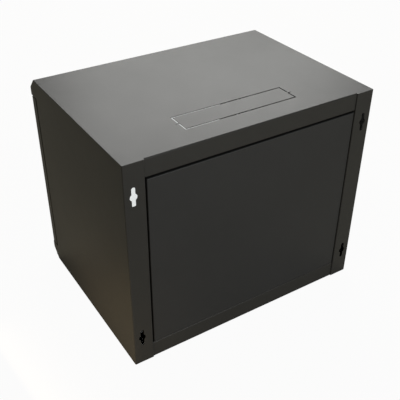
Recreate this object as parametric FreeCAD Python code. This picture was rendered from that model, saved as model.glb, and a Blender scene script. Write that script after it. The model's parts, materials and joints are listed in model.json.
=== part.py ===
"""A 9U wall mount cabinet for 19-inch equipment, welded from folded sheet steel, with a glazed door.

Seen from the front, +X is to the right, the door faces -Y and the wall is the plane y = 0.
The origin lies on the wall plane, at the centre of the four keyholes. All lengths are in mm.
"""

import FreeCAD, Part
import math
import os

V = FreeCAD.Vector
X, Y, Z = V(1, 0, 0), V(0, 1, 0), V(0, 0, 1)

# Overall size: what the rails leave of the width is the cable space beside them
WIDTH = 600.0
DEPTH = 450.0           # wall plane to the front of the door
HEIGHT = 500.0
SHEET = 1.2             # body and door sheet
BEND = 1.0              # inside bend radius of that sheet
SEAM = 0.3              # gap between two folded edges that are welded side by side

# Hoods: the top and bottom covers reach out over and under the door
HOOD_PROUD = 2.5        # hood in front of the door's face
HOOD_HEIGHT = 43.5
HOOD_BEVEL = 25.0
HOOD_UPTURN = 15.0      # stiffening fold behind the hood's lip

# Rear frame
POST_WIDTH = 45.0       # rear flange of each side panel
REBATE = 30.0           # inner flange of each side panel, on which the rear panel seats
COVER_REBATE = 9.0      # the same fold along the covers
RECESS = 3.0            # rear panel and cover flanges lie this far in front of the wall plane
COVER_FLANGE = 40.0
COVER_FLANGE_LIP = 13.0
COVER_ROUND = 0.8       # ground and painted edge where a cover meets a side

# Keyholes in the posts: a round middle with a slot above and below
KEY_FROM_SIDE = 20.0
KEY_FROM_TOP = 72.0
KEY_MIDDLE_R = 8.0
KEY_SLOT_R = 4.25
KEY_LENGTH = 43.0

# Cable knock-outs in the top and bottom covers
KNOCKOUT_LENGTH = 270.0
KNOCKOUT_DEPTH = 58.0
KNOCKOUT_CENTRE_Y = -86.0
KNOCKOUT_SLIT = 3.0
KNOCKOUT_TAB = 3.0
KNOCKOUT_NICK = 6.0     # each slit's end, turned outward beside a tab so that the tab tears there
KNOCKOUT_NICK_WIDTH = 2.5

# Rear panel, a shallow pan that sits low and to one side in its opening
PANEL_PLAY = 5.0        # the opening is this much wider and taller than the panel
PANEL_SIDE_GAP = 0.3
PANEL_FOOT_GAP = 0.4
PANEL_DEPTH = 17.0
PANEL_LIP = 22.0
PANEL_SCREW_IN = 14.0   # screw line from the pan's side edge
PANEL_SCREW_UP = 77.5   # and from its top and foot
PANEL_HOLE_R = 6.0      # oversize, so that the panel can settle in its opening
PANEL_BEND = 0.5        # its inside bend radius, tighter than the frame's
PANEL_TRIM = 1.5        # its top and foot walls stop short of the frame's bends

# Screws and rivet nuts that hold the rear panel from inside
M5_R = 2.5
M5_HEAD_R = 4.5
M5_HEAD = 3.0
M5_GRIP = 12.0
M5_WASHER_R = 10.0
WASHER = 1.0
RIVNUT_R = 3.5
RIVNUT_HEAD_R = 5.0
RIVNUT_HEAD = 1.0
RIVNUT_LENGTH = 9.0
THREAD_GAP = 0.05       # radial, between a screw and its nut

# Side panels' front edge, behind the door
DOOR_STANDOFF = 4.0
FRONT_RETURN = 22.0
EAR_ROOT = 6.0          # the hoods' ears start this far behind that edge

# 19-inch rails
UNIT = 44.45
UNIT_HOLES = (6.35, 22.225, 38.1)
RAIL_OPENING = 450.0
RAIL_HOLE = 9.5
RAIL_HOLE_IN = 7.55     # hole line from the rail's inner edge
RAIL_SHEET = 2.0
RAIL_BEND = 1.5
RAIL_FLANGE = 27.0
RAIL_DEPTH = 40.0
RAIL_REAR_LIP = 14.0
RAIL_END_IN = 27.0      # rail's end from the cabinet's top face
RAIL_END_LAND = 20.0    # least plain length at each end of the rail
RAIL_SETBACK = 60.0     # rail's front face behind the door's, as shipped

# Carriers that the rails slide on
CARRIER_SHEET = 1.5
CARRIER_FACE = 32.0
CARRIER_LIP = 10.0
CARRIER_FROM_TOP = 38.0
CARRIER_FRONT_GAP = 9.0
CARRIER_REAR = 30.0
CARRIER_SLOT = 7.0
CARRIER_SLOT_IN = 13.0
M6_R = 3.0
M6_HEX = 10.0
M6_HEAD = 4.0
M6_HOLE_R = 3.3
M6_NUT = 5.0
NUT_PLATE = 3.0
NUT_PLATE_LENGTH = 30.0
NUT_PLATE_GAP = 0.2     # to the carrier's bends

# Door
DOOR_DEPTH = 22.0
DOOR_GAP = 2.5          # above and below the door
DOOR_LIP = 12.0
STILE_WIDTH = 90.0     # door's face beside the window
DOOR_RAIL_WIDTH = 20.0  # and above and below it
WINDOW_CORNER = 6.0
VENT_LENGTH = 38.0
VENT_HEIGHT = 4.0
VENT_FROM_SIDE = 43.0
VENT_START_Z = 30.0
VENT_PITCH = 14.0
VENT_END_LAND = 20.0

# Glazing
GASKET = 1.5
GASKET_INSET = 1.0
GLASS = 4.0
GLASS_OVERLAP = 10.0    # at the sides
GLASS_OVERLAP_Z = 8.0
GLASS_CORNER = 4.0
CLIP_SHEET = 1.5
CLIP_LENGTH = 24.0
CLIP_WIDTH = 16.0
CLIP_OVER = 7.0
CLIP_FROM_END = 42.0    # outer clips from the pane's top and foot
CLIPS = 4
STANDOFF_R = 4.0
M4_R = 2.0
M4_HEAD_R = 4.0
M4_HEAD = 2.4

# Hinge line
HINGE_IN_X = 9.0        # from the door's side face
HINGE_IN_Y = 11.5       # from the door's front face
PIN_R = 3.0
PIN_CLEARANCE = 0.1
PIN_TRAVEL = 8.0
PIN_TIP_LEFT = 1.0      # tip above the door when the pin is pulled
PIN_LEVER = 16.0
PIN_LEVER_BEND = 6.0
PIN_LEVER_DROP = 10.0   # lever below the bracket
BRACKET_SHEET = 1.5
BRACKET_WIDTH = 14.0
BRACKET_BELOW_TOP = 14.0
BRACKET_OPENING = 28.0
COLLAR_R = 5.5
COLLAR = 2.0
SPRING_WIRE_R = 0.45
SPRING_R = 4.0
SPRING_COILS = 6
SPRING_SEAT = 0.05
FOOT_REACH = 6.5        # lower pin below the hood's lip
FOOT_HEAD_R = 6.5
FOOT_HEAD = 3.0
THRUST_WASHER_R = 8.0
THRUST_WASHER_GAP = 0.1

# Cam lock
LOCK_FROM_SIDE = 34.0
LOCK_HEAD_R = 12.0
LOCK_HEAD = 3.0
LOCK_BARREL_R = 9.0
LOCK_HOLE_GAP = 0.2
LOCK_NUT_HEX = 24.0
LOCK_NUT = 5.0
PLUG_R = 6.0
PLUG_GAP = 0.05
PLUG_PROUD = 0.6
PLUG_SQUARE = 8.0
KEYWAY = (1.6, 7.0, 9.0)
CAM = 2.5
CAM_BEHIND = 1.0        # free space between the cam and the flange that it catches
CAM_WIDTH = 16.0
CAM_REACH = 30.0
CAM_TAIL = 9.0
CAM_SCREW_R = 2.0
CAM_SCREW_HEAD_R = 5.0
CAM_SCREW_HEAD = 2.5
CAM_SCREW_LENGTH = 10.0

# Earth studs and rubber buffers
STUD_LENGTH = 20.0
STUD_FROM_SIDE = 70.0
STUD_FROM_WALL = 70.0
STUD_WASHER_R = 6.0
DOOR_STUD_FROM_SIDE = 45.0
DOOR_STUD_LENGTH = 15.0
DOOR_STUD_UP = 9.5      # above the door's foot
BUFFER_R = 4.5
BUFFER_GAP = 0.3
BUFFER_FROM_END = 34.0  # from the door's top and foot

# Faces that several pieces share
WEB = RAIL_OPENING / 2 + RAIL_FLANGE    # outer face of the rails' webs
SIDE = WIDTH / 2
INNER = SIDE - SHEET
TOP = HEIGHT / 2
NOSE = -(DEPTH + HOOD_PROUD)
LIP_Z = TOP - HOOD_HEIGHT
POST_X = SIDE - POST_WIDTH
OPENING_Z = TOP - COVER_FLANGE
DOOR_FRONT = -DEPTH
DOOR_SKIN = DOOR_FRONT + SHEET
DOOR_REAR = DOOR_FRONT + DOOR_DEPTH
DOOR_Z = LIP_Z - DOOR_GAP
EDGE = DOOR_REAR + DOOR_STANDOFF        # side panels' front edge
PAN_REAR = -RECESS - PANEL_DEPTH        # where the rear panel meets the frame
PANEL_SCREW_X = POST_X - PANEL_PLAY / 2 - PANEL_SCREW_IN
PANEL_SCREW_Z = OPENING_Z - PANEL_PLAY / 2 - PANEL_SCREW_UP
RAIL_FACE = DOOR_FRONT + RAIL_SETBACK
HINGE_X = -SIDE + HINGE_IN_X
HINGE_Y = DOOR_FRONT + HINGE_IN_Y

nodes = {}


def block(x0, x1, y0, y1, z0, z1):
    """A box between two corners."""
    return Part.makeBox(x1 - x0, y1 - y0, z1 - z0, V(x0, y0, z0))


def rod(radius, base, axis, length):
    """A cylinder from base along axis."""
    return Part.makeCylinder(radius, length, base, axis)


def ring(outer, inner, base, axis, length):
    """A tube or washer from base along axis."""
    return rod(outer, base, axis, length).cut(rod(inner, base, axis, length))


def hexagon(across, base, axis, length):
    """A hexagonal prism, across flats, from base along axis."""
    turn = FreeCAD.Rotation(Z, axis)
    corner = across / math.sqrt(3)
    angles = [math.radians(60 * i) for i in range(7)]
    points = [base + turn.multVec(V(corner * math.cos(a), corner * math.sin(a), 0)) for a in angles]
    return Part.Face(Part.makePolygon(points)).extrude(axis * length)


def plate(points, put, run):
    """A flat plate: the outline's two coordinates go through put, and run is its thickness."""
    corners = [put(a, b) for a, b in points]
    return Part.Face(Part.makePolygon(corners + corners[:1])).extrude(run)


def bent(path, put, thickness, radius, run):
    """A folded sheet. path is one face as sharp corners, and the metal lies to its left."""
    p = [V(a, b, 0) for a, b in path]
    d = [(p[i + 1] - p[i]).normalize() for i in range(len(p) - 1)]
    left = [V(-e.y, e.x, 0) for e in d]
    faces = ([[p[0]]], [[p[0] + left[0] * thickness]])
    for i in range(1, len(p) - 1):
        turn = math.atan2(d[i - 1].cross(d[i]).z, d[i - 1].dot(d[i]))
        radii = (radius + thickness, radius) if turn > 0 else (radius, radius + thickness)
        back = radii[0] * math.tan(abs(turn) / 2)
        start, end = p[i] - d[i - 1] * back, p[i] + d[i] * back
        centre = start + left[i - 1] * math.copysign(radii[0], turn)
        to_corner = (p[i] - centre).normalize()
        for face, r, off in zip(faces, radii, (0, thickness)):
            face.append([start + left[i - 1] * off, centre + to_corner * r, end + left[i] * off])
    faces[0].append([p[-1]])
    faces[1].append([p[-1] + left[-1] * thickness])
    stations = faces[0] + [s[::-1] for s in faces[1][::-1]]
    edges = []
    for here, after in zip(stations, stations[1:] + stations[:1]):
        if len(here) == 3:
            edges.append(Part.Arc(*[put(q.x, q.y) for q in here]).toShape())
        edges.append(Part.makeLine(put(here[-1].x, here[-1].y), put(after[0].x, after[0].y)))
    return Part.Face(Part.Wire(edges)).extrude(run)


def obround(length, width, centre, along, axis, depth):
    """A slot cutter with round ends, centred on centre and reaching depth both ways along axis."""
    r = width / 2
    half = along * (length / 2 - r)
    side = along.cross(axis) * r
    a, b = centre - half - axis * depth, centre + half - axis * depth
    edges = [
        Part.makeLine(a + side, b + side),
        Part.Arc(b + side, b + along * r, b - side).toShape(),
        Part.makeLine(b - side, a - side),
        Part.Arc(a - side, a - along * r, a + side).toShape(),
    ]
    return Part.Face(Part.Wire(edges)).extrude(axis * (2 * depth))


def along_edges(shape, axis, x=None, y=None, z=None):
    """The straight edges parallel to axis whose middle has the given coordinates (by absolute x and z)."""
    found = []
    for edge in shape.Edges:
        if abs(abs(edge.tangentAt(edge.FirstParameter).dot(axis)) - 1) > 1e-6:
            continue
        m = edge.CenterOfMass
        wanted = ((x, abs(m.x)), (y, m.y), (z, abs(m.z)))
        if all(w is None or abs(w - v) < 1e-3 for w, v in wanted):
            found.append(edge)
    return found


def flat_xy(a, b):
    return V(a, b, 0)


def flat_yz(a, b):
    return V(0, a, b)


def flipped(shape, axis):
    """The mirror image through the origin's plane square to axis."""
    return shape.mirror(V(0, 0, 0), axis)


# Side panels: one folded sheet each, with the rear post and its rebate, the front return behind
# the door, and an ear above and below the door that carries the hoods' bevelled corner.
def hood_corner(inset):
    """The bevel's two ends in side view, moved in by inset."""
    k = inset * math.tan(math.radians(22.5))
    return [
        (NOSE + HOOD_BEVEL + k, TOP - inset),
        (NOSE + inset, TOP - HOOD_BEVEL - k),
    ]


side_path = [
    (SIDE - FRONT_RETURN, EDGE),
    (SIDE, EDGE),
    (SIDE, 0),
    (POST_X, 0),
    (POST_X, PAN_REAR),
    (POST_X - REBATE, PAN_REAR),
]
side = bent(side_path, flat_xy, SHEET, BEND, Z * (HEIGHT - 2 * SHEET))
side.translate(Z * (SHEET - TOP))
ear_back = EDGE + EAR_ROOT
ear_outline = [(ear_back, LIP_Z), (NOSE + 2 * SHEET, LIP_Z), (NOSE + SHEET, LIP_Z + SHEET)]
ear_outline += hood_corner(SHEET)[::-1] + [(ear_back, TOP - SHEET)]
ear = plate(ear_outline, lambda a, b: V(INNER, a, b), X * SHEET)
relief = block(0, SIDE, NOSE, ear_back, LIP_Z, TOP)
for cutter, corner in ((relief, ear), (flipped(relief, Z), flipped(ear, Z))):
    side = side.cut(cutter).fuse(corner)
for sign in (-1, 1):
    centre = V(SIDE - KEY_FROM_SIDE, 0, sign * (TOP - KEY_FROM_TOP))
    side = side.cut(obround(KEY_LENGTH, 2 * KEY_SLOT_R, centre, Z, Y, 2 * SHEET))
    side = side.cut(rod(KEY_MIDDLE_R, centre - Y * (2 * SHEET), Y, 4 * SHEET))
    seat = V(PANEL_SCREW_X, PAN_REAR - SHEET, sign * PANEL_SCREW_Z)
    side = side.cut(rod(PANEL_HOLE_R, seat, Y, SHEET))
side = side.removeSplitter()
nodes["side_panel_right"] = side
nodes["side_panel_left"] = flipped(side, X)

# Top and bottom covers: rebate, rear flange, plate, bevelled hood and its lip, folded from one sheet.
cover_path = [
    (PAN_REAR, OPENING_Z - COVER_REBATE),
    (PAN_REAR, OPENING_Z),
    (-RECESS, OPENING_Z),
    (-RECESS, TOP),
    *hood_corner(0),
    (NOSE, LIP_Z),
    (EDGE, LIP_Z),
    (EDGE, LIP_Z + HOOD_UPTURN),
]
cover = bent(cover_path, flat_yz, SHEET, BEND, X * WIDTH)
cover.translate(X * -SIDE)
cover = cover.makeFillet(COVER_ROUND, along_edges(cover, Y, x=SIDE, z=TOP))
flange_half = POST_X - SEAM
behind = -RECESS - COVER_FLANGE_LIP - BEND
for sign in (-1, 1):
    x0, x1 = sorted((sign * flange_half, sign * SIDE))
    corner = block(x0, x1, behind, 0, TOP - SHEET, TOP)
    corner = corner.makeFillet(SHEET + BEND, along_edges(corner, Z, x=SIDE, y=0))
    corner = corner.makeFillet(COVER_ROUND, along_edges(corner, Y, x=SIDE, z=TOP))
    cover = cover.cut(block(x0, x1, behind, 0, 0, TOP)).fuse(corner)
    x0, x1 = sorted((sign * (POST_X - REBATE - SEAM), sign * SIDE))
    cover = cover.cut(block(x0, x1, PAN_REAR - SHEET, -RECESS - COVER_FLANGE_LIP, 0, TOP - SHEET))
half_length, half_depth = KNOCKOUT_LENGTH / 2, KNOCKOUT_DEPTH / 2
knockout_y = (KNOCKOUT_CENTRE_Y - half_depth, KNOCKOUT_CENTRE_Y + half_depth)
cover = cover.cut(block(-half_length, half_length, *knockout_y, TOP - 2 * SHEET, TOP))
for sign in (-1, 1):
    x0, x1 = sorted((sign * half_length, sign * (half_length + KNOCKOUT_NICK)))
    y0 = KNOCKOUT_CENTRE_Y + KNOCKOUT_TAB / 2
    cover = cover.cut(block(x0, x1, y0, y0 + KNOCKOUT_NICK_WIDTH, TOP - 2 * SHEET, TOP))
cover = cover.cut(nodes["side_panel_right"]).cut(nodes["side_panel_left"]).removeSplitter()
hinge_hole = rod(PIN_R + PIN_CLEARANCE, V(HINGE_X, HINGE_Y, LIP_Z - SHEET), Z, 3 * SHEET)
cover = cover.cut(hinge_hole)
nodes["top_cover"] = cover
nodes["bottom_cover"] = flipped(cover, Z)

# Knock-out plates, flush in the covers and held by a narrow tab at each end.
knock_x = half_length - KNOCKOUT_SLIT
knockout = block(
    -knock_x, knock_x, knockout_y[0] + KNOCKOUT_SLIT, knockout_y[1] - KNOCKOUT_SLIT, TOP - SHEET, TOP
)
tab_y = (KNOCKOUT_CENTRE_Y - KNOCKOUT_TAB / 2, KNOCKOUT_CENTRE_Y + KNOCKOUT_TAB / 2)
knockout = knockout.fuse(block(-half_length, half_length, *tab_y, TOP - SHEET, TOP)).removeSplitter()
nodes["top_knockout"] = knockout
nodes["bottom_knockout"] = flipped(knockout, Z)

# Rear panel: a pan with folded edges and an inward lip on its long sides.
pan_x = (-POST_X + PANEL_SIDE_GAP, POST_X + PANEL_SIDE_GAP - PANEL_PLAY)
pan_z = (-OPENING_Z + PANEL_FOOT_GAP, OPENING_Z + PANEL_FOOT_GAP - PANEL_PLAY)
pan_mid_x, pan_mid_z = sum(pan_x) / 2, sum(pan_z) / 2
pan = block(*pan_x, PAN_REAR, -RECESS, *pan_z)
rim = [e for e in pan.Edges if abs(e.CenterOfMass.y + RECESS) < 1e-6]
pan = pan.makeFillet(SHEET + PANEL_BEND, rim + along_edges(pan, Z, y=PAN_REAR))
hollow = block(
    pan_x[0] + SHEET, pan_x[1] - SHEET, PAN_REAR + SHEET, -RECESS - SHEET, pan_z[0] + SHEET, pan_z[1] - SHEET
)
mouth = block(
    pan_x[0] + PANEL_LIP, pan_x[1] - PANEL_LIP, PAN_REAR, -RECESS - SHEET, pan_z[0] + SHEET, pan_z[1] - SHEET
)
pan = pan.cut(hollow).cut(mouth)
for z0, z1 in ((pan_z[0], pan_z[0] + SHEET), (pan_z[1] - SHEET, pan_z[1])):
    pan = pan.cut(block(*pan_x, PAN_REAR, PAN_REAR + PANEL_TRIM, z0, z1))
corners = [(sx, sz) for sx in (-1, 1) for sz in (-1, 1)]
panel_screws = [(pan_mid_x + sx * PANEL_SCREW_X, pan_mid_z + sz * PANEL_SCREW_Z) for sx, sz in corners]
for x, z in panel_screws:
    pan = pan.cut(rod(RIVNUT_R + THREAD_GAP, V(x, PAN_REAR, z), Y, SHEET))
nodes["rear_panel"] = pan.removeSplitter()

# Rivet nuts in the pan's lips, and the screws and washers that hold it from inside.
nuts, screws, washers = [], [], []
for x, z in panel_screws:
    seat = V(x, PAN_REAR, z)
    nut = rod(RIVNUT_R, seat, Y, RIVNUT_LENGTH)
    nut = nut.fuse(rod(RIVNUT_HEAD_R, seat + Y * SHEET, Y, RIVNUT_HEAD))
    nuts.append(nut.cut(rod(M5_R + THREAD_GAP, seat, Y, RIVNUT_LENGTH)))
    under = V(x, PAN_REAR - SHEET - WASHER, z)
    head = rod(M5_HEAD_R, under, -Y, M5_HEAD)
    head = head.makeFillet(0.4 * M5_HEAD, [e for e in head.Edges if e.CenterOfMass.y < under.y - 0.9 * M5_HEAD])
    screws.append(head.fuse(rod(M5_R, under, Y, M5_GRIP)))
    washers.append(ring(M5_WASHER_R, M5_R + 2 * THREAD_GAP, under, Y, WASHER))
nodes["rear_panel_nuts"] = Part.makeCompound(nuts)
nodes["rear_panel_screws"] = Part.makeCompound(screws)
nodes["rear_panel_washers"] = Part.makeCompound(washers)

# Rail carriers: a hat section welded to each side, with one long slot.
carrier_z = TOP - CARRIER_FROM_TOP
web_z = (carrier_z - CARRIER_FACE / 2, carrier_z + CARRIER_FACE / 2)
hat_path = [
    (INNER, web_z[0] - CARRIER_LIP),
    (INNER, web_z[0] + CARRIER_SHEET),
    (WEB + CARRIER_SHEET, web_z[0] + CARRIER_SHEET),
    (WEB + CARRIER_SHEET, web_z[1] - CARRIER_SHEET),
    (INNER, web_z[1] - CARRIER_SHEET),
    (INNER, web_z[1] + CARRIER_LIP),
]
carrier_front = EDGE + CARRIER_FRONT_GAP
carrier_length = -CARRIER_REAR - carrier_front
carrier = bent(hat_path, lambda a, b: V(a, carrier_front, b), CARRIER_SHEET, BEND, Y * carrier_length)
slot_at = V(WEB, (carrier_front - CARRIER_REAR) / 2, carrier_z)
slot_length = carrier_length - 2 * CARRIER_SLOT_IN
carrier = carrier.cut(obround(slot_length, CARRIER_SLOT, slot_at, Y, X, 2 * CARRIER_SHEET))
for name, shape in (("right", carrier), ("left", flipped(carrier, X))):
    nodes[f"rail_carrier_{name}_top"] = shape
    nodes[f"rail_carrier_{name}_bottom"] = flipped(shape, Z)

# 19-inch rails with square holes, their bolts and the nut plates inside the carriers.
rail_path = [
    (RAIL_OPENING / 2, RAIL_FACE),
    (WEB, RAIL_FACE),
    (WEB, RAIL_FACE + RAIL_DEPTH),
    (WEB - RAIL_REAR_LIP, RAIL_FACE + RAIL_DEPTH),
]
rail_end = TOP - RAIL_END_IN
rail = bent(rail_path, flat_xy, RAIL_SHEET, RAIL_BEND, Z * (2 * rail_end))
rail.translate(Z * -rail_end)
units = int(2 * (rail_end - RAIL_END_LAND) / UNIT)
holes = []
for unit in range(units):
    for rise in UNIT_HOLES:
        z = (unit - units / 2) * UNIT + rise
        x, half = RAIL_OPENING / 2 + RAIL_HOLE_IN, RAIL_HOLE / 2
        holes.append(block(x - half, x + half, RAIL_FACE, RAIL_FACE + RAIL_SHEET, z - half, z + half))
rail = rail.cut(Part.makeCompound(holes))
bolt_y = RAIL_FACE + RAIL_DEPTH / 2
bolts, plates = [], []
for sign in (-1, 1):
    face = V(WEB - RAIL_SHEET, bolt_y, sign * carrier_z)
    rail = rail.cut(rod(M6_HOLE_R, face, X, RAIL_SHEET))
    grip = RAIL_SHEET + CARRIER_SHEET + NUT_PLATE + M6_R
    bolts.append(hexagon(M6_HEX, face, -X, M6_HEAD).fuse(rod(M6_R, face, X, grip)))
    back = WEB + CARRIER_SHEET
    tall = CARRIER_FACE / 2 - CARRIER_SHEET - BEND - NUT_PLATE_GAP
    nut = block(
        back, back + NUT_PLATE, bolt_y - NUT_PLATE_LENGTH / 2, bolt_y + NUT_PLATE_LENGTH / 2,
        sign * carrier_z - tall, sign * carrier_z + tall,
    )
    plates.append(nut.cut(rod(M6_R + THREAD_GAP, V(back, bolt_y, sign * carrier_z), X, NUT_PLATE)))
for name, turn in (("right", lambda s: s), ("left", lambda s: flipped(s, X))):
    nodes[f"rack_rail_{name}"] = turn(rail)
    nodes[f"rail_bolts_{name}"] = Part.makeCompound([turn(s) for s in bolts])
    nodes[f"rail_nut_plates_{name}"] = Part.makeCompound([turn(s) for s in plates])

# Door: a pan of one sheet with the window, vent slots down both stiles and lips at its sides.
door = block(-SIDE, SIDE, DOOR_FRONT, DOOR_REAR, -DOOR_Z, DOOR_Z)
rounded = [e for e in door.Edges if abs(e.CenterOfMass.y - DOOR_FRONT) < 1e-6]
rounded += along_edges(door, Z, x=SIDE, y=DOOR_REAR)
door = door.makeFillet(SHEET + BEND, rounded)
hollow = block(-INNER, INNER, DOOR_SKIN, DOOR_REAR - SHEET, SHEET - DOOR_Z, DOOR_Z - SHEET)
inner_rim = [e for e in hollow.Edges if abs(e.CenterOfMass.y - DOOR_SKIN) < 1e-6]
inner_rim += along_edges(hollow, Z, x=INNER, y=DOOR_REAR - SHEET)
door = door.cut(hollow.makeFillet(BEND, inner_rim))
mouth_x = SIDE - DOOR_LIP
door = door.cut(block(-mouth_x, mouth_x, DOOR_SKIN, DOOR_REAR, SHEET - DOOR_Z, DOOR_Z - SHEET))
window_x, window_z = SIDE - STILE_WIDTH, DOOR_Z - DOOR_RAIL_WIDTH
window = block(-window_x, window_x, DOOR_FRONT, DOOR_SKIN, -window_z, window_z)
door = door.cut(window.makeFillet(WINDOW_CORNER, along_edges(window, Y)))
vent_rows = 1 + int((DOOR_Z - VENT_END_LAND - VENT_START_Z) / VENT_PITCH)
vent_x = SIDE - VENT_FROM_SIDE
vents = []
for side_sign in (-1, 1):
    for z_sign in (-1, 1):
        for row in range(vent_rows):
            at = V(side_sign * vent_x, DOOR_FRONT, z_sign * (VENT_START_Z + row * VENT_PITCH))
            vents.append(obround(VENT_LENGTH, VENT_HEIGHT, at, X, Y, 2 * SHEET))
door = door.cut(Part.makeCompound(vents))
lock_x = SIDE - LOCK_FROM_SIDE
door = door.cut(rod(LOCK_BARREL_R + LOCK_HOLE_GAP, V(lock_x, DOOR_FRONT, 0), Y, SHEET))
hinge_foot = V(HINGE_X, HINGE_Y, -DOOR_Z)
door = door.cut(rod(PIN_R + THREAD_GAP, hinge_foot, Z, SHEET))
door = door.cut(rod(PIN_R + PIN_CLEARANCE, V(HINGE_X, HINGE_Y, DOOR_Z), -Z, SHEET))
nodes["door_frame"] = door

# Glazing: a foam gasket, the pane, and clips screwed to stand-offs on the stiles.
glass_x, glass_z = window_x + GLASS_OVERLAP, window_z + GLASS_OVERLAP_Z
gasket_outer = block(
    GASKET_INSET - glass_x, glass_x - GASKET_INSET, DOOR_SKIN, DOOR_SKIN + GASKET,
    GASKET_INSET - glass_z, glass_z - GASKET_INSET,
)
gasket_inner = block(
    -window_x - GASKET_INSET, window_x + GASKET_INSET, DOOR_SKIN, DOOR_SKIN + GASKET,
    -window_z - GASKET_INSET, window_z + GASKET_INSET,
)
nodes["glass_gasket"] = gasket_outer.cut(gasket_inner)
glass_front = DOOR_SKIN + GASKET
glass_back = glass_front + GLASS
pane = block(-glass_x, glass_x, glass_front, glass_back, -glass_z, glass_z)
nodes["door_glass"] = pane.makeFillet(GLASS_CORNER, along_edges(pane, Y))
standoffs, clips, clip_screws = [], [], []
clip_x = (glass_x - CLIP_OVER, glass_x - CLIP_OVER + CLIP_LENGTH)
standoff_x = glass_x + (clip_x[1] - glass_x) / 2
clip_back = glass_back + CLIP_SHEET
clip_reach = glass_z - CLIP_FROM_END
clip_heights = [clip_reach * (2 * row / (CLIPS - 1) - 1) for row in range(CLIPS)]
for turn in (lambda s: s, lambda s: flipped(s, X)):
    for z in clip_heights:
        foot = V(standoff_x, DOOR_SKIN, z)
        standoffs.append(turn(ring(STANDOFF_R, M4_R + THREAD_GAP, foot, Y, GASKET + GLASS)))
        clip = block(*clip_x, glass_back, clip_back, z - CLIP_WIDTH / 2, z + CLIP_WIDTH / 2)
        clip = clip.makeFillet(CLIP_OVER / 2, along_edges(clip, Y))
        clips.append(turn(clip.cut(rod(M4_R + PIN_CLEARANCE, foot, Y, clip_back - DOOR_SKIN))))
        top = V(standoff_x, clip_back, z)
        shank = rod(M4_R, top, -Y, CLIP_SHEET + GLASS)
        clip_screws.append(turn(rod(M4_HEAD_R, top, Y, M4_HEAD).fuse(shank)))
nodes["glass_standoffs"] = Part.makeCompound(standoffs)
nodes["glass_clips"] = Part.makeCompound(clips)
nodes["glass_clip_screws"] = Part.makeCompound(clip_screws)

# Upper hinge: a bracket on the door's skin guides a sprung pin with a bent finger lever.
ear_top = DOOR_Z - BRACKET_BELOW_TOP
ear_low = ear_top - BRACKET_OPENING
bracket_y = HINGE_Y + PIN_R + 2 * BRACKET_SHEET
bracket_path = [
    (bracket_y, ear_low - BRACKET_SHEET),
    (DOOR_SKIN, ear_low - BRACKET_SHEET),
    (DOOR_SKIN, ear_top + BRACKET_SHEET),
    (bracket_y, ear_top + BRACKET_SHEET),
]
bracket_x = HINGE_X - BRACKET_WIDTH / 2
bracket = bent(bracket_path[::-1], lambda a, b: V(bracket_x, a, b), BRACKET_SHEET, BEND, X * BRACKET_WIDTH)
pin_axis = V(HINGE_X, HINGE_Y, ear_low - 2 * BRACKET_SHEET)
bracket = bracket.cut(rod(PIN_R + PIN_CLEARANCE, pin_axis, Z, BRACKET_OPENING + 4 * BRACKET_SHEET))
nodes["hinge_bracket"] = bracket
pin_top = DOOR_Z + PIN_TIP_LEFT + PIN_TRAVEL
lever_z = ear_low - PIN_LEVER_DROP
bend_r = PIN_LEVER_BEND
half_turn = bend_r * (1 - math.sqrt(0.5))
lever_path = Part.Wire([
    Part.makeLine(V(HINGE_X, HINGE_Y, pin_top), V(HINGE_X, HINGE_Y, lever_z + bend_r)),
    Part.Arc(
        V(HINGE_X, HINGE_Y, lever_z + bend_r),
        V(HINGE_X + half_turn, HINGE_Y, lever_z + half_turn),
        V(HINGE_X + bend_r, HINGE_Y, lever_z),
    ).toShape(),
    Part.makeLine(V(HINGE_X + bend_r, HINGE_Y, lever_z), V(HINGE_X + PIN_LEVER, HINGE_Y, lever_z)),
])
section = Part.Wire([Part.makeCircle(PIN_R, V(HINGE_X, HINGE_Y, pin_top), Z)])
pin = lever_path.makePipeShell([section], True, False)
tip = [e for e in pin.Edges if abs(e.CenterOfMass.z - pin_top) < 1e-6]
nodes["hinge_pin_upper"] = pin.makeChamfer(PIN_R / 4, tip)
collar_z = ear_top - COLLAR
nodes["hinge_pin_collar"] = ring(COLLAR_R, PIN_R, V(HINGE_X, HINGE_Y, collar_z), Z, COLLAR)
spring_low = ear_low + SPRING_SEAT + SPRING_WIRE_R
spring_high = collar_z - SPRING_SEAT - SPRING_WIRE_R
rise = spring_high - spring_low
helix = Part.makeHelix(rise / SPRING_COILS, rise, SPRING_R)
wire_end = Part.Wire([Part.makeCircle(SPRING_WIRE_R, V(SPRING_R, 0, 0), Y)])
spring = Part.Wire(helix.Edges).makePipeShell([wire_end], True, True)
spring.translate(V(HINGE_X, HINGE_Y, spring_low))
nodes["hinge_spring"] = spring

# Lower hinge: a riveted pin that turns in the bottom hood's lip on a nylon thrust washer.
foot_length = SHEET + DOOR_GAP + FOOT_REACH
foot_pin = rod(PIN_R, V(HINGE_X, HINGE_Y, SHEET - DOOR_Z), -Z, foot_length)
foot_pin = foot_pin.makeChamfer(PIN_R / 4, [e for e in foot_pin.Edges if e.CenterOfMass.z < -DOOR_Z - DOOR_GAP])
head = rod(FOOT_HEAD_R, V(HINGE_X, HINGE_Y, SHEET - DOOR_Z), Z, FOOT_HEAD)
nodes["hinge_pin_lower"] = foot_pin.fuse(head)
nodes["hinge_thrust_washer"] = ring(
    THRUST_WASHER_R, PIN_R + PIN_CLEARANCE, V(HINGE_X, HINGE_Y, -LIP_Z), Z, DOOR_GAP - THRUST_WASHER_GAP
)

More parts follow.
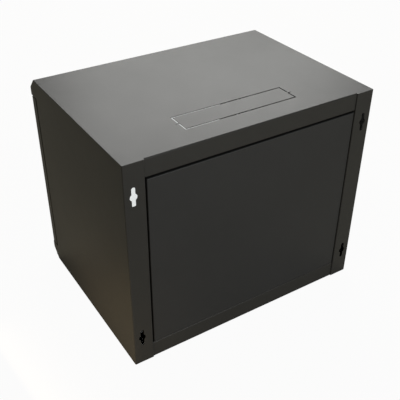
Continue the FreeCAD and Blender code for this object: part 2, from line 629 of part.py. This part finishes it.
# Cam lock: barrel and nut in the right stile, plug with keyway, cam behind the side's return.
cam_front = EDGE + SHEET + CAM_BEHIND
cam_back = cam_front + CAM
barrel_back = cam_front - 2 * PLUG_GAP
lock_face = V(lock_x, DOOR_FRONT - LOCK_HEAD, 0)
barrel = rod(LOCK_BARREL_R, V(lock_x, DOOR_FRONT, 0), Y, barrel_back - DOOR_FRONT)
lock_head = rod(LOCK_HEAD_R, lock_face, Y, LOCK_HEAD)
front_rim = [e for e in lock_head.Edges if abs(e.CenterOfMass.y - lock_face.y) < 1e-6]
barrel = barrel.fuse(lock_head.makeFillet(LOCK_HEAD / 2, front_rim))
nodes["lock_barrel"] = barrel.cut(rod(PLUG_R + PLUG_GAP, lock_face, Y, barrel_back - lock_face.y))
lock_nut = hexagon(LOCK_NUT_HEX, V(lock_x, DOOR_SKIN, 0), Y, LOCK_NUT)
nodes["lock_nut"] = lock_nut.cut(rod(LOCK_BARREL_R + THREAD_GAP, V(lock_x, DOOR_SKIN, 0), Y, LOCK_NUT))
plug_face = lock_face - Y * PLUG_PROUD
plug = rod(PLUG_R, plug_face, Y, cam_front - plug_face.y)
half = PLUG_SQUARE / 2
plug = plug.fuse(block(lock_x - half, lock_x + half, cam_front, cam_back, -half, half))
kw, kh, kd = KEYWAY
plug = plug.cut(block(lock_x - kw / 2, lock_x + kw / 2, plug_face.y, plug_face.y + kd, -kh / 2, kh / 2))
screw_end = V(lock_x, cam_back - CAM_SCREW_LENGTH, 0)
nodes["lock_plug"] = plug.cut(rod(CAM_SCREW_R + THREAD_GAP, screw_end, Y, CAM_SCREW_LENGTH))
cam_mid = V(lock_x, (cam_front + cam_back) / 2, (CAM_REACH - CAM_TAIL) / 2)
cam = obround(CAM_REACH + CAM_TAIL, CAM_WIDTH, cam_mid, Z, Y, CAM / 2)
half = PLUG_SQUARE / 2 + THREAD_GAP
nodes["lock_cam"] = cam.cut(block(lock_x - half, lock_x + half, cam_front, cam_back, -half, half))
cam_screw = rod(CAM_SCREW_HEAD_R, V(lock_x, cam_back, 0), Y, CAM_SCREW_HEAD)
nodes["lock_cam_screw"] = cam_screw.fuse(rod(CAM_SCREW_R, screw_end, Y, CAM_SCREW_LENGTH))

# Earth studs: one on the bottom cover, one on the door, each with its nut and washer.
floor_z = SHEET - TOP
stud_foot = V(STUD_FROM_SIDE - SIDE, -STUD_FROM_WALL, floor_z)
nodes["earth_stud"] = rod(M6_R, stud_foot, Z, STUD_LENGTH)
stud_bore = M6_R + THREAD_GAP
washer_base = stud_foot + Z * M6_NUT
earth_washers = [ring(STUD_WASHER_R, stud_bore, washer_base + Z * lift, Z, WASHER) for lift in (0, WASHER)]
nodes["earth_washers"] = Part.makeCompound(earth_washers)
nuts = []
for base in (stud_foot, washer_base + Z * (2 * WASHER)):
    nuts.append(hexagon(M6_HEX, base, Z, M6_NUT).cut(rod(stud_bore, base, Z, M6_NUT)))
nodes["earth_nuts"] = Part.makeCompound(nuts)
door_stud = V(DOOR_STUD_FROM_SIDE - SIDE, DOOR_SKIN, DOOR_STUD_UP - DOOR_Z)
nodes["door_earth_stud"] = rod(M6_R, door_stud, Y, DOOR_STUD_LENGTH)
base = door_stud + Y * WASHER
nodes["door_earth_nut"] = hexagon(M6_HEX, base, Y, M6_NUT).cut(rod(stud_bore, base, Y, M6_NUT))
nodes["door_earth_washer"] = ring(STUD_WASHER_R, stud_bore, door_stud, Y, WASHER)

# Rubber buffers on the right side's front return, which the closed door meets.
buffer_length = DOOR_STANDOFF - BUFFER_GAP
buffer_x = SIDE - DOOR_LIP / 2 - BEND
buffer_z = DOOR_Z - BUFFER_FROM_END
buffers = [rod(BUFFER_R, V(buffer_x, EDGE, s * buffer_z), -Y, buffer_length) for s in (-1, 1)]
nodes["door_buffers"] = Part.makeCompound(buffers)

os.makedirs("parts", exist_ok=True)
for name, shape in nodes.items():
    for solid in shape.Solids:
        assert solid.isValid(), name
    shape.exportStep(f"parts/{name}.step")
    print(name, len(shape.Solids), round(shape.Volume / 1000, 2))
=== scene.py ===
import json
import math

import bmesh
import bpy
from mathutils import Euler, Matrix, Vector


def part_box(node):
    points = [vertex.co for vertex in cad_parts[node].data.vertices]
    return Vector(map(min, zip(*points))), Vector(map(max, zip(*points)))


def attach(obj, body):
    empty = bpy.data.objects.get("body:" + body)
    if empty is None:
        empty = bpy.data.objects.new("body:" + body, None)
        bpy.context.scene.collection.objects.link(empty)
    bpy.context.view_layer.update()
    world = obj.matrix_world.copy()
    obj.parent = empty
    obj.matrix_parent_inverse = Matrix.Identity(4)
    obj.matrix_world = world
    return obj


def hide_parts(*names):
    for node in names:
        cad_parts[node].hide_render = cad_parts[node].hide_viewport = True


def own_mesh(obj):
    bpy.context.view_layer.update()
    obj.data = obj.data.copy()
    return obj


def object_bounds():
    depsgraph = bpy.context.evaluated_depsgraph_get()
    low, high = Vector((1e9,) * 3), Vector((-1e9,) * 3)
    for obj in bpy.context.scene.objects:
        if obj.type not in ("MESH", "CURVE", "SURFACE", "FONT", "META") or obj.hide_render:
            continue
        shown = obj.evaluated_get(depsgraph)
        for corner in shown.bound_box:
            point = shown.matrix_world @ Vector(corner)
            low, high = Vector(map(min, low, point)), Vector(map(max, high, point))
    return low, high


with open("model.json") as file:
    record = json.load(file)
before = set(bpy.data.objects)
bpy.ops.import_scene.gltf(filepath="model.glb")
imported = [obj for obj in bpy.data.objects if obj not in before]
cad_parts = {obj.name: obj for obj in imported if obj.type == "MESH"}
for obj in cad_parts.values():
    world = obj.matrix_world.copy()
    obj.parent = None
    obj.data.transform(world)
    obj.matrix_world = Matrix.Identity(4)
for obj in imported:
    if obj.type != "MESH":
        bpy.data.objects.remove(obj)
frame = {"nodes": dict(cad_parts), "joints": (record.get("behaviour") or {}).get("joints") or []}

cad_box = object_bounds()
scene = bpy.context.scene
scene.view_settings.view_transform = "Standard"


# Camera: a short telephoto that looks down on the cabinet's back from its right-hand side,
# rolled by a third of a degree.
camera = bpy.data.objects.new("camera", bpy.data.cameras.new("camera"))
scene.collection.objects.link(camera)
camera.data.lens = 59.23
camera.data.sensor_width = 36.0
camera.location = (0.7083, 0.8930, 0.8425)
heading, pitch, roll = math.radians(212.55), math.radians(34.22), math.radians(0.33)
turned = Euler((math.pi / 2 - pitch, 0, -heading)).to_matrix() @ Matrix.Rotation(roll, 3, "Z")
camera.rotation_euler = turned.to_euler()
scene.camera = camera


# Shader expressions: a socket that takes part in sums and products, the node tree that it
# belongs to, and a material made of such a tree.
class Value:
    """A socket of a shader, so that masks and blends are written as plain sums."""

    def __init__(self, shader, socket):
        self.shader, self.socket = shader, socket

    def maths(self, operation, *terms):
        return self.shader.node("ShaderNodeMath", {"operation": operation}, dict(enumerate(terms)))

    def __add__(self, other):
        return self.maths("ADD", self, other)

    def __sub__(self, other):
        return self.maths("SUBTRACT", self, other)

    def __rsub__(self, other):
        return self.maths("SUBTRACT", other, self)

    def __mul__(self, other):
        return self.maths("MULTIPLY", self, other)

    __radd__, __rmul__ = __add__, __mul__


class Shader:
    """A node tree, of a material or of the sky, and the ways to fill it."""

    def __init__(self, tree):
        self.tree = tree

    def put(self, socket, value):
        if isinstance(value, Value):
            self.tree.links.new(value.socket, socket)
        else:
            socket.default_value = value

    def node(self, kind, settings=None, inputs=None, output=0):
        made = self.tree.nodes.new(kind)
        for name, value in (settings or {}).items():
            if name == "stops":
                ramp = made.color_ramp
                while len(ramp.elements) < len(value):
                    ramp.elements.new(0.5)
                for element, (place, shade) in zip(ramp.elements, value):
                    element.position = place
                    element.color = (*shade, 1.0)
            else:
                setattr(made, name, value)
        for name, value in (inputs or {}).items():
            self.put(made.inputs[name], value)
        return Value(self, made.outputs[output])

    def seen_by(self, *rays):
        """One for the named kinds of ray, such as "Camera", and none for the rest."""
        return sum(self.node("ShaderNodeLightPath", output=f"Is {ray} Ray") for ray in rays)


class Finish(Shader):
    """A material: its Principled surface and the nodes that vary it."""

    def __init__(self, name, color, rough, **constants):
        self.material = bpy.data.materials.new(name)
        self.material.use_nodes = True
        super().__init__(self.material.node_tree)
        self.surface = self.tree.nodes["Principled BSDF"]
        self.feed(base_color=(*color, 1.0), roughness=rough, **constants)

    def feed(self, **inputs):
        for name, value in inputs.items():
            self.put(self.surface.inputs[name.replace("_", " ").title().replace("Ior", "IOR")], value)

    def noise(self, scale, detail=2.0, roughness=0.5):
        place = self.node("ShaderNodeTexCoord", output="Object")
        inputs = {"Vector": place, "Scale": scale, "Detail": detail, "Roughness": roughness}
        return self.node("ShaderNodeTexNoise", inputs=inputs)

    def blend(self, amount, first, second):
        inputs = {0: amount, 6: (*first, 1.0), 7: (*second, 1.0)}
        return self.node("ShaderNodeMix", {"data_type": "RGBA"}, inputs, output=2)

    def bump(self, height, strength, distance):
        inputs = {"Height": height, "Strength": strength, "Distance": distance}
        return self.node("ShaderNodeBump", inputs=inputs)


# Floor: a plain pale sheet that shows white to the eye. Right under the cabinet it carries a dark patch of
# painted shade, so that nothing bright shows through the slits of the lower cover.
floor_size, floor_below, painted_shade_inset = 14.0, 0.0002, 0.003
white_to_eye, white_to_gloss = 0.96, 0.05
half = floor_size / 2
(west, south), (east, north) = cad_box[0][:2], cad_box[1][:2]
west, south, east, north = west + painted_shade_inset, south + painted_shade_inset, east - painted_shade_inset, north - painted_shade_inset
outer = [(-half, -half), (half, -half), (half, half), (-half, half)]
inner = [(west, south), (east, south), (east, north), (west, north)]
mesh = bpy.data.meshes.new("floor")
mesh.from_pydata([(x, y, cad_box[0][2] - floor_below) for x, y in outer + inner], [],
                 [(i, (i + 1) % 4, (i + 1) % 4 + 4, i + 4) for i in range(4)] + [(4, 5, 6, 7)])
floor = bpy.data.objects.new("floor", mesh)
scene.collection.objects.link(floor)
pale = Finish("pale_floor", (0.31, 0.287, 0.21), 0.9)
white = pale.node("ShaderNodeEmission", inputs={"Color": (1, 1, 1, 1), "Strength": 1.0})
shown = pale.seen_by("Camera", "Transmission") * white_to_eye + pale.seen_by("Glossy") * white_to_gloss
sheet = Value(pale, pale.surface.outputs[0])
swept = pale.node("ShaderNodeMixShader", inputs={0: shown, 1: sheet, 2: white})
pale.put(pale.tree.nodes["Material Output"].inputs["Surface"], swept)
# The patch under the cabinet is a flat dark grey: painted shade where the cabinet's own shadow would fall.
shade = Finish("painted_shade_floor", (0.05, 0.05, 0.05), 0.9)
for surface in (pale, shade):
    mesh.materials.append(surface.material)
mesh.polygons[4].material_index = 1

# Sky: even and dim on the cabinet, a little brighter in its reflections, and white to the eye
# and through the glass.
sky_light, sky_gloss = 0.18, 0.35
scene.world = bpy.data.worlds.new("sky")
scene.world.use_nodes = True
sky = Shader(scene.world.node_tree)
background = sky.tree.nodes["Background"]
sky.put(background.inputs["Color"], (1, 1, 1, 1))
sky.put(background.inputs["Strength"], sky.seen_by("Camera", "Transmission") * (1 - sky_light)
        + sky.seen_by("Glossy") * (sky_gloss - sky_light) + sky_light)


# Lamps: a large soft panel before the door, whose reflection brightens the top, another
# behind the back, and a strip for the warm light that a floor throws up on one side.
def lamp(name, place, aim, size, watts, color):
    """A soft panel lamp that faces a point."""
    light = bpy.data.lights.new(name, "AREA")
    light.shape = "RECTANGLE"
    light.size, light.size_y = size
    light.energy = watts
    light.color = color
    made = bpy.data.objects.new(name, light)
    scene.collection.objects.link(made)
    made.location = place
    made.rotation_euler = (Vector(aim) - Vector(place)).to_track_quat("-Z", "Y").to_euler()
    made.visible_camera = False
    return made


lamp("front_panel", place=(-1.28, -2.15, 1.97), aim=(0, -0.2, 0.2), size=(2.05, 1.85),
     watts=76.5, color=(1.0, 1.0, 0.975))
lamp("back_fill", place=(-0.2, 2.8, 0.45), aim=(0, 0, 0), size=(2.0, 1.6),
     watts=63.5, color=(0.97, 1.0, 1.03))
bounce = lamp("floor_bounce", place=(0.52, 0.0, -0.21), aim=(0.3, -0.02, -0.215), size=(0.54, 0.05),
              watts=1.15, color=(1.0, 0.80, 0.54))
bounce.visible_glossy = False


# Welded body: covers and side panels of folded 1.2 mm sheet steel, welded, ground and then
# baked with a graphite-black semi-gloss powder coat, which leaves a slight orange peel.
def powder_coat(name, color, gloss=0.40):
    coat = Finish(name, color, gloss, specular_ior_level=0.20)
    peel = coat.noise(560.0, 2.0, 0.45)
    drift = coat.noise(4.5, 3.0)
    film = coat.noise(38.0, 3.0, 0.6)
    specks = coat.noise(1900.0, 1.0)
    darker, lighter = [c * 0.86 for c in color], [c * 1.14 for c in color]
    coat.feed(
        base_color=coat.blend(drift * 0.7 + film * 0.3, darker, lighter),
        roughness=drift * 0.07 + film * 0.05 + (gloss - 0.06),
        normal=coat.bump(peel * 0.8 + specks * 0.2, strength=0.34, distance=0.0003),
    )
    return coat


def dress(finish, *names):
    """Gives CAD nodes their finish."""
    for name in names:
        node = frame["nodes"][name]
        node.data.materials.clear()
        node.data.materials.append(finish.material)


body_paint = powder_coat("body_powder_coat", (0.0245, 0.0235, 0.0210))
dress(body_paint, "side_panel_left", "side_panel_right", "top_cover", "bottom_cover")

# Knock-out plates: left in the covers' own sheet by a narrow slit and held by a tab at each
# end, so they lie flush and carry the body's coat.
dress(body_paint, "top_knockout", "bottom_knockout")

# Rail carriers: hat sections of 1.5 mm sheet, spot-welded to the sides before the coat went
# on. The coat is darker and duller on them than outside.
carrier_paint = powder_coat("carrier_powder_coat", (0.0205, 0.0205, 0.0200), 0.44)
dress(carrier_paint, *[name for name in frame["nodes"] if name.startswith("rail_carrier")])

# Rear panel: a separate pan of the same sheet, folded on all four sides and coated on its own
# rack, so its shade is a touch cooler than the body's.
panel_paint = powder_coat("panel_powder_coat", (0.0240, 0.0238, 0.0230), 0.42)
dress(panel_paint, "rear_panel")


# Small steel parts: turned, pressed or headed, and bright zinc plated. The plating clouds
# a little, and keeps faint tool marks under it.
def zinc(name, color, rough, mottle):
    plating = Finish(name, color, rough, metallic=1.0)
    cloud = plating.noise(mottle, 4.0, 0.6)
    darker, lighter = [c * 0.82 for c in color], [min(1.0, c * 1.1) for c in color]
    plating.feed(
        base_color=plating.blend(cloud, darker, lighter),
        roughness=cloud * 0.16 + (rough - 0.08),
        normal=plating.bump(plating.noise(1400.0), strength=0.10, distance=0.0002),
    )
    return plating


fastener_zinc = zinc("fastener_zinc", (0.66, 0.67, 0.68), 0.30, 300.0)
dress(fastener_zinc, "rail_bolts_left", "rail_bolts_right", "rail_nut_plates_left", "rail_nut_plates_right",
      "rear_panel_nuts", "rear_panel_washers", "glass_standoffs", "glass_clips", "lock_nut", "lock_cam",
      "earth_stud", "earth_washers", "earth_nuts", "door_earth_stud", "door_earth_nut", "door_earth_washer")


# Machine screws: cold-headed with crowned pan heads and a cross recess, thread-rolled and
# zinc plated. Four M5 hold the rear panel from inside; the M4 ones come with the door.
def screw_head(radius, height):
    """A crowned head on the plane z = 0, with a tapered cross recess sunk in its top."""
    mesh = bpy.data.meshes.new("screw_head")
    form = bmesh.new()
    rim, crown, sides = height * 0.30, (18, 36, 54, 70, 82), 32
    profile = [(0.0, 0.0), (radius * 0.97, 0.0), (radius, height * 0.12), (radius, rim)]
    profile += [(radius * math.cos(a), rim + (height - rim) * math.sin(a))
                for a in (math.radians(d) for d in crown)]
    profile.append((0.0, height))
    points = [form.verts.new((r, 0, z)) for r, z in profile]
    edges = [form.edges.new(pair) for pair in zip(points, points[1:])]
    bmesh.ops.spin(form, geom=points + edges, cent=(0, 0, 0), axis=(0, 0, 1), angle=math.tau,
                   steps=sides)
    bmesh.ops.remove_doubles(form, verts=form.verts, dist=1e-6)
    bmesh.ops.recalc_face_normals(form, faces=form.faces)
    form.to_mesh(mesh)
    form.free()
    blank = bpy.data.objects.new("screw_blank", mesh)
    scene.collection.objects.link(blank)

    cutter_mesh = bpy.data.meshes.new("cross_punch")
    form = bmesh.new()
    reach, wide, deep, taper = radius * 0.58, radius * 0.15, height * 0.62, 0.5
    outline = [(reach, -wide), (reach, wide), (wide, wide), (wide, reach),
               (-wide, reach), (-wide, wide), (-reach, wide), (-reach, -wide),
               (-wide, -wide), (-wide, -reach), (wide, -reach), (wide, -wide)]
    top = [form.verts.new((x, y, height * 1.2)) for x, y in outline]
    low = [form.verts.new((x * taper, y * taper, height - deep)) for x, y in outline]
    form.faces.new(top)
    form.faces.new(low[::-1])
    for i in range(len(outline)):
        j = (i + 1) % len(outline)
        form.faces.new((low[i], low[j], top[j], top[i]))
    bmesh.ops.recalc_face_normals(form, faces=form.faces)
    form.to_mesh(cutter_mesh)
    form.free()
    punch = bpy.data.objects.new("cross_punch", cutter_mesh)
    scene.collection.objects.link(punch)
    cut = blank.modifiers.new("recess", "BOOLEAN")
    cut.operation, cut.object, cut.solver = "DIFFERENCE", punch, "EXACT"
    shaped = bpy.data.meshes.new_from_object(blank.evaluated_get(bpy.context.evaluated_depsgraph_get()))
    for spare in (blank, punch):
        bpy.data.objects.remove(spare)
    return shaped


def threaded(form, base, along, radius, length, pitch):
    """Adds a threaded shank to a bmesh: one helical ridge from base, along a unit vector."""
    core, sides, rows_per_turn = 0.86, 20, 4
    turn = along.to_track_quat("Z", "Y").to_matrix()
    rows = max(2, int(length / pitch * rows_per_turn))
    rings = []
    for row in range(rows + 1):
        ring = []
        for side in range(sides):
            angle = math.tau * side / sides
            height = row * length / rows
            phase = (height / pitch + side / sides) % 1.0
            r = radius * (core + (1 - core) * (1 - abs(2 * phase - 1)))
            spot = Vector((r * math.cos(angle), r * math.sin(angle), height))
            ring.append(form.verts.new(base + turn @ spot))
        rings.append(ring)
    for lower, upper in zip(rings, rings[1:]):
        for side in range(sides):
            after = (side + 1) % sides
            form.faces.new((lower[side], lower[after], upper[after], upper[side]))
    form.faces.new(rings[0][::-1])
    form.faces.new(rings[-1])


def screws(node, body, head_up, head, thread, seats, shank):
    """Headed screws in one piece. A head is its radius and height, a thread its radius and
    pitch, a seat the point under a head, and the shank a length."""
    name = f"{node}_cross"
    head_form = screw_head(*head)
    thread_radius, thread_pitch = thread
    first_spin, next_spin = 23, 67
    turn = head_up.to_track_quat("Z", "Y").to_matrix().to_4x4()
    form = bmesh.new()
    for number, seat in enumerate(seats):
        spun = Matrix.Rotation(math.radians(first_spin + next_spin * number), 4, "Z")
        start = len(form.verts)
        form.from_mesh(head_form)
        form.verts.ensure_lookup_table()
        bmesh.ops.transform(form, matrix=Matrix.Translation(seat) @ turn @ spun, verts=form.verts[start:])
        threaded(form, Vector(seat), -head_up, thread_radius, shank, thread_pitch)
    mesh = bpy.data.meshes.new(name)
    form.to_mesh(mesh)
    form.free()
    piece = bpy.data.objects.new(name, mesh)
    scene.collection.objects.link(piece)
    mesh.materials.append(fastener_zinc.material)
    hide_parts(node)
    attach(piece, body)


head_radius, head_height, grip = 0.0045, 0.003, 0.012
m5_thread = (0.0025, 0.0008)
low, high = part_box("rear_panel_screws")
across = (high[0] - low[0]) / 2 - head_radius
upward = (high[2] - low[2]) / 2 - head_radius
centre_x, centre_z = (high[0] + low[0]) / 2, (high[2] + low[2]) / 2
seats = [(centre_x + sx * across, low[1] + head_height, centre_z + sz * upward)
         for sx in (-1, 1) for sz in (-1, 1)]
screws("rear_panel_screws", "cabinet", Vector((0, -1, 0)), (head_radius, head_height), m5_thread, seats,
       grip)


# Rails: 2 mm sheet with square holes for cage nuts, bright zinc plated after punching. Each
# unit's number is printed beside its middle hole, with a line where the units meet.
rail_zinc = zinc("rail_zinc", (0.60, 0.62, 0.64), 0.36, 45.0)
dress(rail_zinc, "rack_rail_left", "rack_rail_right")

ink = Finish("printing_ink", (0.02, 0.02, 0.022), 0.6)
ink.feed(roughness=ink.noise(500.0) * 0.2 + 0.5)
unit, units = 0.04445, 9
ink_film, number_height, number_in = 0.00004, 0.0062, 0.0178
line_length, line_width, line_in = 0.010, 0.0005, 0.0158
for side, sign in (("left", -1), ("right", 1)):
    rail_low, rail_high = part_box(f"rack_rail_{side}")
    inner_edge = min(abs(rail_low[0]), abs(rail_high[0]))
    ink_y = rail_low[1] - ink_film / 2
    form = bmesh.new()
    for row in range(units):
        digit = bpy.data.objects.new("digit", bpy.data.curves.new("digit", "FONT"))
        scene.collection.objects.link(digit)
        digit.data.body = str(row + 1)
        digit.data.size = number_height
        digit.data.align_x, digit.data.align_y = "CENTER", "CENTER"
        digit.data.extrude = ink_film / 2
        printed = bpy.data.meshes.new_from_object(digit.evaluated_get(bpy.context.evaluated_depsgraph_get()))
        start = len(form.verts)
        form.from_mesh(printed)
        form.verts.ensure_lookup_table()
        place = Matrix.Translation((sign * (inner_edge + number_in), ink_y, (row + 0.5 - units / 2) * unit))
        upright = Matrix.Rotation(math.pi / 2, 4, "X")
        bmesh.ops.transform(form, matrix=place @ upright, verts=form.verts[start:])
        bpy.data.objects.remove(digit)
    for row in range(units + 1):
        line = bmesh.ops.create_cube(form, size=1.0)["verts"]
        bmesh.ops.scale(form, vec=(line_length, ink_film, line_width), verts=line)
        place = (sign * (inner_edge + line_in), ink_y, (row - units / 2) * unit)
        bmesh.ops.translate(form, vec=place, verts=line)
    marks_mesh = bpy.data.meshes.new(f"unit_marks_{side}")
    form.to_mesh(marks_mesh)
    form.free()
    marks = bpy.data.objects.new(f"unit_marks_{side}", marks_mesh)
    scene.collection.objects.link(marks)
    marks_mesh.materials.append(ink.material)
    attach(marks, f"rack_rail_{side}")


# Door: a pan folded from one 1.2 mm sheet, coated like the body, with its hinge bracket
# spot-welded behind the left stile.
door_paint = powder_coat("door_powder_coat", (0.0240, 0.0235, 0.0222), 0.38)
dress(door_paint, "door_frame", "hinge_bracket")

# Glazing: 4 mm toughened glass with a light grey tint, set on a foam gasket and held by
# zinc-plated clips on stand-offs, with one M4 screw to each clip.
glass = Finish("door_glass", (0.82, 0.845, 0.835), 0.02, transmission_weight=1.0, ior=1.5)
dress(glass, "door_glass")

foam = Finish("gasket_foam", (0.012, 0.012, 0.012), 0.85)
cells = foam.noise(2600.0, 3.0, 0.7)
foam.feed(
    base_color=foam.blend(cells, (0.008, 0.008, 0.008), (0.022, 0.022, 0.022)),
    normal=foam.bump(cells, strength=0.5, distance=0.0004),
)
dress(foam, "glass_gasket")

clips_on_a_side, head_radius, head_height = 4, 0.004, 0.0024
m4_thread = (0.002, 0.0007)
low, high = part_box("glass_clip_screws")
seat_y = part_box("glass_clips")[1][1]
column = high[0] - head_radius
lowest, highest = low[2] + head_radius, high[2] - head_radius
rows = [lowest + (highest - lowest) * i / (clips_on_a_side - 1) for i in range(clips_on_a_side)]
seats = [(sign * column, seat_y, row) for sign in (-1, 1) for row in rows]
screws("glass_clip_screws", "door", Vector((0, 1, 0)), (head_radius, head_height), m4_thread, seats,
       seat_y - low[1])

# Cam lock: a die-cast barrel and its turned plug, polished and chromed, with a plated cam
# that one M4 screw holds on the plug's end.
chrome = Finish("lock_chrome", (0.78, 0.78, 0.78), 0.12, metallic=1.0)
swirl = chrome.noise(220.0, 3.0)
chrome.feed(
    base_color=chrome.blend(swirl, (0.70, 0.70, 0.71), (0.80, 0.80, 0.80)),
    roughness=swirl * 0.10 + 0.07,
)
dress(chrome, "lock_barrel", "lock_plug")

head_radius, head_height = 0.005, 0.0025
low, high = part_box("lock_cam_screw")
seat_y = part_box("lock_cam")[1][1]
seat = ((low[0] + high[0]) / 2, seat_y, (low[2] + high[2]) / 2)
screws("lock_cam_screw", "lock", Vector((0, 1, 0)), (head_radius, head_height), m4_thread, [seat],
       seat_y - low[1])

# Hinge pins: the sprung upper one is bent from 6 mm bright bar and carries a pressed-on
# collar, and the lower one is riveted in the door's foot.
pin_steel = zinc("pin_steel", (0.58, 0.58, 0.58), 0.32, 200.0)
dress(pin_steel, "hinge_pin_upper", "hinge_pin_lower", "hinge_pin_collar")

# Spring of the upper pin: hard-drawn wire, closed at both ends. Its top stays under the pin's collar. On the
# real hinge it shortens against the bracket's lower ear as the pin is pulled down; here the coil is hung on
# the pin's body and keeps its full length.
spring_steel = Finish("spring_wire", (0.38, 0.38, 0.40), 0.35, metallic=1.0)
spring_steel.feed(roughness=spring_steel.noise(700.0) * 0.15 + 0.28)
wire_r, open_turns, steps, sides = 0.00045, 5, 36, 10
coil_low, coil_high = (Vector(corner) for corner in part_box("hinge_spring"))
coil_middle = (coil_low + coil_high) / 2
coil_r = (coil_high.x - coil_low.x) / 2 - wire_r
foot, head = coil_low.z + wire_r, coil_high.z - wire_r
pitch = (head - foot - 4 * wire_r) / open_turns
form = bmesh.new()
rings = []
for step in range((open_turns + 2) * steps + 1):
    turns = step / steps
    height = foot + 2 * wire_r * (min(turns, 1) + max(turns - 1 - open_turns, 0))
    height += pitch * min(max(turns - 1, 0), open_turns)
    outward = Vector((math.cos(math.tau * turns), math.sin(math.tau * turns), 0))
    centre = Vector((coil_middle.x, coil_middle.y, height)) + outward * coil_r
    ring = []
    for side in range(sides):
        angle = math.tau * side / sides
        across, upward = outward * wire_r * math.cos(angle), Vector((0, 0, wire_r * math.sin(angle)))
        ring.append(form.verts.new(centre + across + upward))
    rings.append(ring)
for lower, upper in zip(rings, rings[1:]):
    for side in range(sides):
        after = (side + 1) % sides
        form.faces.new((lower[side], upper[side], upper[after], lower[after]))
form.faces.new(rings[0])
form.faces.new(rings[-1][::-1])
bmesh.ops.recalc_face_normals(form, faces=form.faces)
coil_mesh = bpy.data.meshes.new("hinge_spring_coil")
form.to_mesh(coil_mesh)
form.free()
for face in coil_mesh.polygons:
    face.use_smooth = len(face.vertices) == 4
coil_mesh.materials.append(spring_steel.material)
coil = bpy.data.objects.new("hinge_spring_coil", coil_mesh)
scene.collection.objects.link(coil)
travel = next(joint for joint in frame["joints"] if joint["name"] == "hinge_pin_pull")["range_m"][1]
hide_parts("hinge_spring")
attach(coil, "hinge_pin")
1 - travel / (coil_high.z - coil_low.z)
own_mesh(coil)

# Thrust washer: natural nylon, punched from sheet. It lies on the lower hood's lip, and the
# door's weight turns on it.
nylon = Finish("natural_nylon", (0.74, 0.72, 0.67), 0.5, subsurface_weight=0.15, subsurface_scale=0.002)
nylon.feed(base_color=nylon.blend(nylon.noise(250.0), (0.70, 0.68, 0.62), (0.77, 0.75, 0.70)))
dress(nylon, "hinge_thrust_washer")

# Door buffers: moulded rubber studs, pushed into the right side's front return, that take up
# the door when it is swung shut.
rubber = Finish("buffer_rubber", (0.014, 0.014, 0.014), 0.7)
rubber.feed(
    roughness=rubber.noise(400.0) * 0.15 + 0.62,
    normal=rubber.bump(rubber.noise(1500.0), strength=0.3, distance=0.0002),
)
dress(rubber, "door_buffers")
